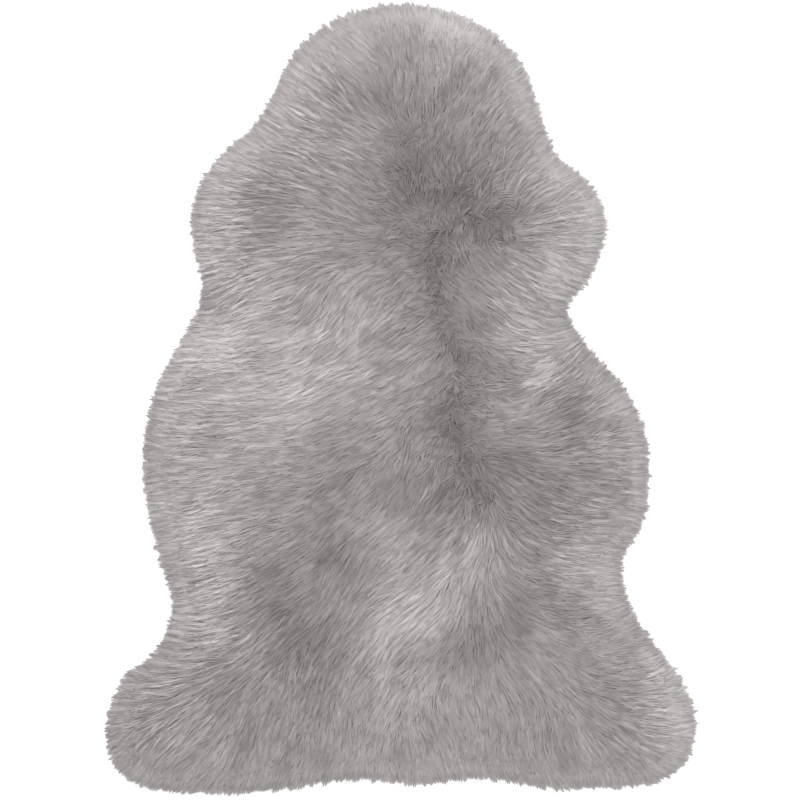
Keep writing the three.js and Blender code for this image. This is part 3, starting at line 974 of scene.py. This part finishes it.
class SheepskinSizes(PropertyGroup):
    """Sizes and colours of the sheepskin."""

    pile_height: metres(
        "Pile Height", "Height of the lying wool over the middle of the skin", 0.046, 0.02, 0.08)
    wool_length: metres(
        "Wool Length", "Length of a wisp of wool that lies above the underwool", 0.036, 0.02, 0.09)
    wisp_width: metres("Wisp Width", "Width of a wisp of wool at its widest", 0.0013, 0.0008, 0.006)
    lock_pitch: metres(
        "Lock Pitch", "Distance between the roots of neighbouring locks", 0.0057, 0.004, 0.03)
    staple_pitch: metres(
        "Staple Pitch", "Distance between the roots of neighbouring staples of locks", 0.017, 0.008, 0.05)
    staple_gather: fraction("Staple Gather", "How far the locks of a staple draw together at its tip", 0.3)
    wisps_per_lock: IntProperty(
        name="Wisps in a Lock", description="Wisps that gather in one lock", default=6, min=3, max=16)
    gather: fraction("Gather", "How far the wisps of a lock draw together at its tip", 0.35)
    root_inset: metres(
        "Root Inset", "How far the outermost roots lie inside the tips of the wool", 0.012, 0.004, 0.03)
    skin_inset: metres(
        "Skin Inset", "How far the skin's edge lies inside the tips of the wool", 0.02, 0.01, 0.04)
    skin_thickness: metres("Skin Thickness", "Thickness of the tanned skin", 0.0025, 0.001, 0.004)
    wool: tint("Wool", "Colour of most of the wool", (0.3595, 0.33, 0.3295))
    # The dark end of the shades stands for painted shade in the partings and between strands as well as
    # darker wool, and the light end for painted light on tufts, rim and glinting wisps as well as lighter
    # wool
    dark_wool_and_shade: tint("Dark Wool", "Colour of the wool in the partings", (0.11, 0.098, 0.098))
    light_wool_and_highlight: tint("Light Wool", "Colour of the lightest wisps", (0.765, 0.727, 0.727))
    skin: tint("Skin", "Colour of the suede skin side", (0.6, 0.55, 0.5))


class SHEEPSKIN_OT_skin(Operator):
    """Lays the tanned skin, a thin sheet with its suede side on the floor"""

    bl_idname = "sheepskin.skin"
    bl_label = "Lay the Skin"

    def execute(self, context):
        sizes = context.scene.sheepskin
        grid = pelt_grid(sizes.skin_inset / MM, SKIN_PITCH)
        flat = np.zeros(grid.shape[:2])
        verts, loops, counts = slab_arrays(grid, flat + sizes.skin_thickness / MM, flat)
        new_piece("skin", verts, loops, counts, suede(sizes))
        return {"FINISHED"}


class SHEEPSKIN_OT_underwool(Operator):
    """Packs the felted underwool on the skin, under the fleece"""

    bl_idname = "sheepskin.underwool"
    bl_label = "Pack the Underwool"

    def execute(self, context):
        sizes = context.scene.sheepskin
        survey = survey_of(context)
        grid = pelt_grid(sizes.root_inset / MM, UNDERWOOL_PITCH)
        share = UNDERWOOL_SHARE + PARTING_SHARE * survey.read("bare", grid)
        top = share * survey.read("pile", grid)
        low = np.full(grid.shape[:2], UNDERWOOL_FOOT)
        # The tone carries the fleece's painted light and shade along with its own tone
        tone = MID_SHADE + survey.read("tone", grid)
        verts, loops, counts = slab_arrays(grid, top, low)
        fields = {TONE_FIELD: np.concatenate([tone.ravel(), tone.ravel()])}
        new_piece("underwool", verts, loops, counts, felted_wool(sizes), fields=fields)
        return {"FINISHED"}


class SHEEPSKIN_OT_fleece(Operator):
    bl_idname = "sheepskin.fleece"
    bl_label = "Grow the Fleece"

    def execute(self, context):
        sizes = context.scene.sheepskin
        survey = survey_of(context)
        chance = np.random.default_rng(SEED)
        wool = combed_wool(sizes)
        grown = grow(survey, sizes, chance)
        x, y = grown[0][:, 0], grown[0][:, 1]
        left = x < BACK_LINE
        ribs = (y <= SHOULDER_LINE) & (y > RUMP_LINE)
        zones = {
            "fleece_neck": y > NECK_LINE,
            "fleece_shoulders": (y <= NECK_LINE) & (y > SHOULDER_LINE),
            "fleece_left_ribs": ribs & left,
            "fleece_right_ribs": ribs & ~left,
            "fleece_left_rump": (y <= RUMP_LINE) & left,
            "fleece_right_rump": (y <= RUMP_LINE) & ~left,
        }
        for name, here in zones.items():
            verts, loops, counts, spots, normals = wisp_arrays(*[part[here] for part in grown])
            maps = {FIBRE_MAP: spots, BAKE_MAP: spots}
            new_piece(name, verts, loops, counts, wool, maps, normals)
        # The outline of the skin's sheet, in metres
        line = border_of(pelt_grid(sizes.skin_inset / MM, SKIN_PITCH)) * MM
        return {"FINISHED"}


class SHEEPSKIN_OT_stage(Operator):
    """Sets the pale floor, the soft lights and the camera straight above"""

    bl_idname = "sheepskin.stage"
    bl_label = "Set the Stage"

    def execute(self, context):
        scene = context.scene
        sides = ((-1, -1), (1, -1), (1, 1), (-1, 1))
        mesh = bpy.data.meshes.new("floor")
        corners = [(FLOOR_HALF * x, FLOOR_HALF * y, -FLOOR_DROP) for x, y in sides]
        mesh.from_pydata(corners, [], [(0, 1, 2, 3)])
        mesh.materials.append(fresh_material("pale floor", FLOOR_FINISH)[0])
        floor = linked("floor", mesh)
        world = bpy.data.worlds.new("studio")
        world.use_nodes = True
        glow = world.node_tree.nodes["Background"].inputs
        glow["Color"].default_value = (1, 1, 1, 1)
        glow["Strength"].default_value = STUDIO_LIGHT
        scene.world = world
        # Each lamp faces the middle of the floor
        for row in LAMPS:
            lamp = bpy.data.lights.new(row.title, "AREA")
            lamp.size = row.side
            lamp.energy = row.power
            light = linked(row.title, lamp)
            light.location = row.place
            aim = np.array(row.place) / np.linalg.norm(row.place)
            light.rotation_euler = (math.acos(aim[2]), 0, math.atan2(aim[1], aim[0]) + math.pi / 2)
        eye = bpy.data.cameras.new("camera")
        eye.sensor_width = CAMERA_SENSOR
        eye.lens = CAMERA_SENSOR * (CAMERA_PLACE[2] - SEEN_HEIGHT) / SEEN_WIDTH
        camera = linked("camera", eye)
        camera.location = CAMERA_PLACE
        scene.camera = camera
        scene.view_settings.view_transform = "Standard"
        return {"FINISHED"}


class SHEEPSKIN_PT_panel(Panel):
    """Sizes of the sheepskin, and the steps that make it"""

    bl_label = "Sheepskin Rug"
    bl_idname = "SHEEPSKIN_PT_panel"
    bl_space_type = "VIEW_3D"
    bl_region_type = "UI"
    bl_category = "Sheepskin"

    def draw(self, context):
        column = self.layout.column()
        for name in SheepskinSizes.__annotations__:
            column.prop(context.scene.sheepskin, name)
        for step in STEPS:
            column.operator(step.bl_idname)


STEPS = (SHEEPSKIN_OT_stage, SHEEPSKIN_OT_skin, SHEEPSKIN_OT_underwool, SHEEPSKIN_OT_fleece)
CLASSES = (SheepskinSizes, *STEPS, SHEEPSKIN_PT_panel)


def register():
    """Registers the classes and puts the sizes on the scene."""
    for kind in CLASSES:
        bpy.utils.register_class(kind)
    Scene.sheepskin = PointerProperty(type=SheepskinSizes)


def unregister():
    """Takes the sizes off the scene and the classes out again."""
    del Scene.sheepskin
    for kind in reversed(CLASSES):
        bpy.utils.unregister_class(kind)


def main():
    """Makes the pieces in order."""
    register()
    bpy.ops.sheepskin.stage()
    bpy.ops.sheepskin.skin()
    bpy.ops.sheepskin.underwool()
    bpy.ops.sheepskin.fleece()


if __name__ == "__main__":
    main()
